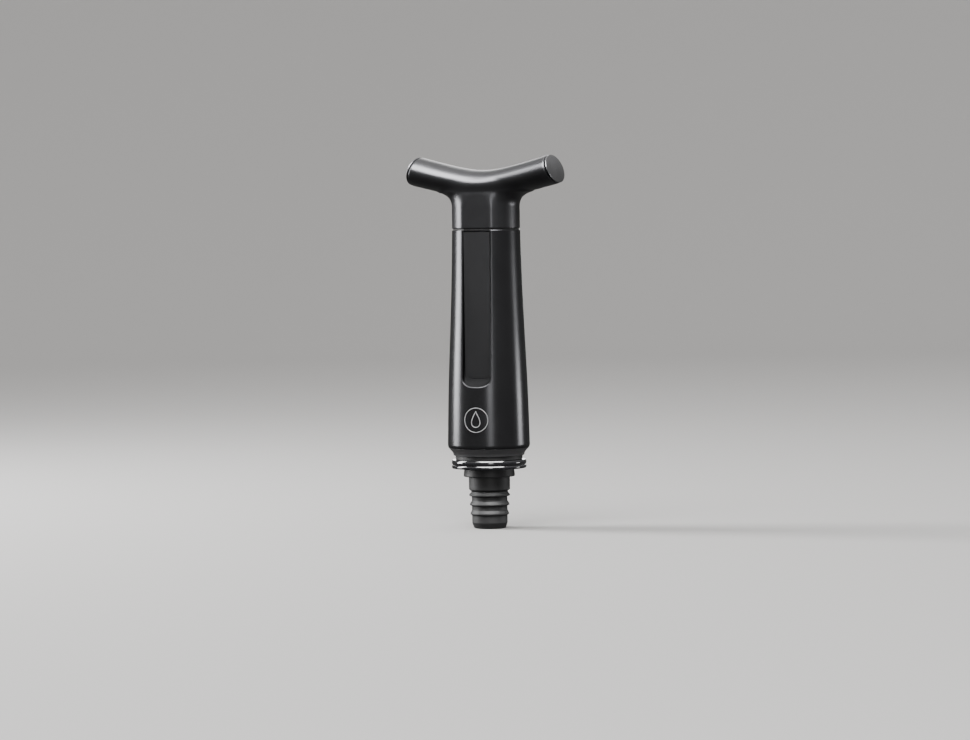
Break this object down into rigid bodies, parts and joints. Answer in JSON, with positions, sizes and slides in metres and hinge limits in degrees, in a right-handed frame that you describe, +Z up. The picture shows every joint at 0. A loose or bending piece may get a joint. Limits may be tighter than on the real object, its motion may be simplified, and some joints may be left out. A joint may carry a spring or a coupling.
{
  "type": "hand vacuum wine pump",
  "caption": "Hand vacuum pump with a T-bar pull handle, seated on its bottle stopper; it draws the air out of an opened wine bottle.",
  "frame": {"origin": "on the pump's axis, in the plane where the stopper's collar rests on the bottle's lip", "axes": "+Z up along the axis, from the stopper's plug to the handle; X along the handle's bar; -Y is the front, with the recess and its inlay"},
  "size_m": [0.0722, 0.0382, 0.1729],
  "materials": {
    "casing_metal": "dark gunmetal anodised, satin",
    "cap_metal": "dark gunmetal anodised, satin, a little lighter",
    "inlay_matte": "matt black",
    "foot_plastic": "satin black",
    "ring_gloss": "polished black",
    "rubber_black": "matt black rubber",
    "silicone_red": "dark red silicone",
    "plastic_black": "moulded black plastic",
    "plastic_grey": "moulded grey plastic",
    "plastic_white": "natural acetal",
    "barrel_clear": "smoky clear plastic",
    "steel_bright": "polished steel"
  },
  "bodies": {
    "stopper": {"stopper_plug": "rubber_black", "stopper_lower_ring": "ring_gloss", "stopper_upper_ring": "ring_gloss", "valve_cage": "plastic_grey"},
    "stopper_valve": {"stopper_valve": "silicone_red"},
    "pump": {"base_ring": "foot_plastic", "mouth_seal": "rubber_black", "barrel_o_ring": "rubber_black", "pump_barrel": "barrel_clear", "barrel_cap": "plastic_black", "rod_bush": "plastic_white", "bump_washer": "rubber_black", "outer_sleeve": "casing_metal", "front_inlay": "inlay_matte", "rear_inlay": "inlay_matte", "landing_ring": "rubber_black"},
    "handle": {"handle_grip": "casing_metal", "left_end_cap": "cap_metal", "right_end_cap": "cap_metal", "neck_plate": "plastic_black", "neck_screws": "steel_bright", "piston_rod": "steel_bright", "piston_head": "plastic_black", "piston_seal": "silicone_red", "piston_screw": "steel_bright", "stop_clip": "steel_bright"},
    "piston_valve": {"piston_valve_disc": "silicone_red"}
  },
  "joints": [
    {"name": "pump_lift_off", "type": "slide", "parent": "stopper", "child": "pump", "axis": [0, 0, 1], "range_m": [0, 0.04]},
    {"name": "handle_stroke", "type": "slide", "parent": "pump", "child": "handle", "axis": [0, 0, 1], "range_m": [0, 0.063]},
    {"name": "piston_valve_lift", "type": "slide", "parent": "handle", "child": "piston_valve", "axis": [0, 0, 1], "range_m": [0, 0.001]},
    {"name": "stopper_valve_lift", "type": "slide", "parent": "stopper", "child": "stopper_valve", "axis": [0, 0, 1], "range_m": [0, 0.0012]}
  ]
}
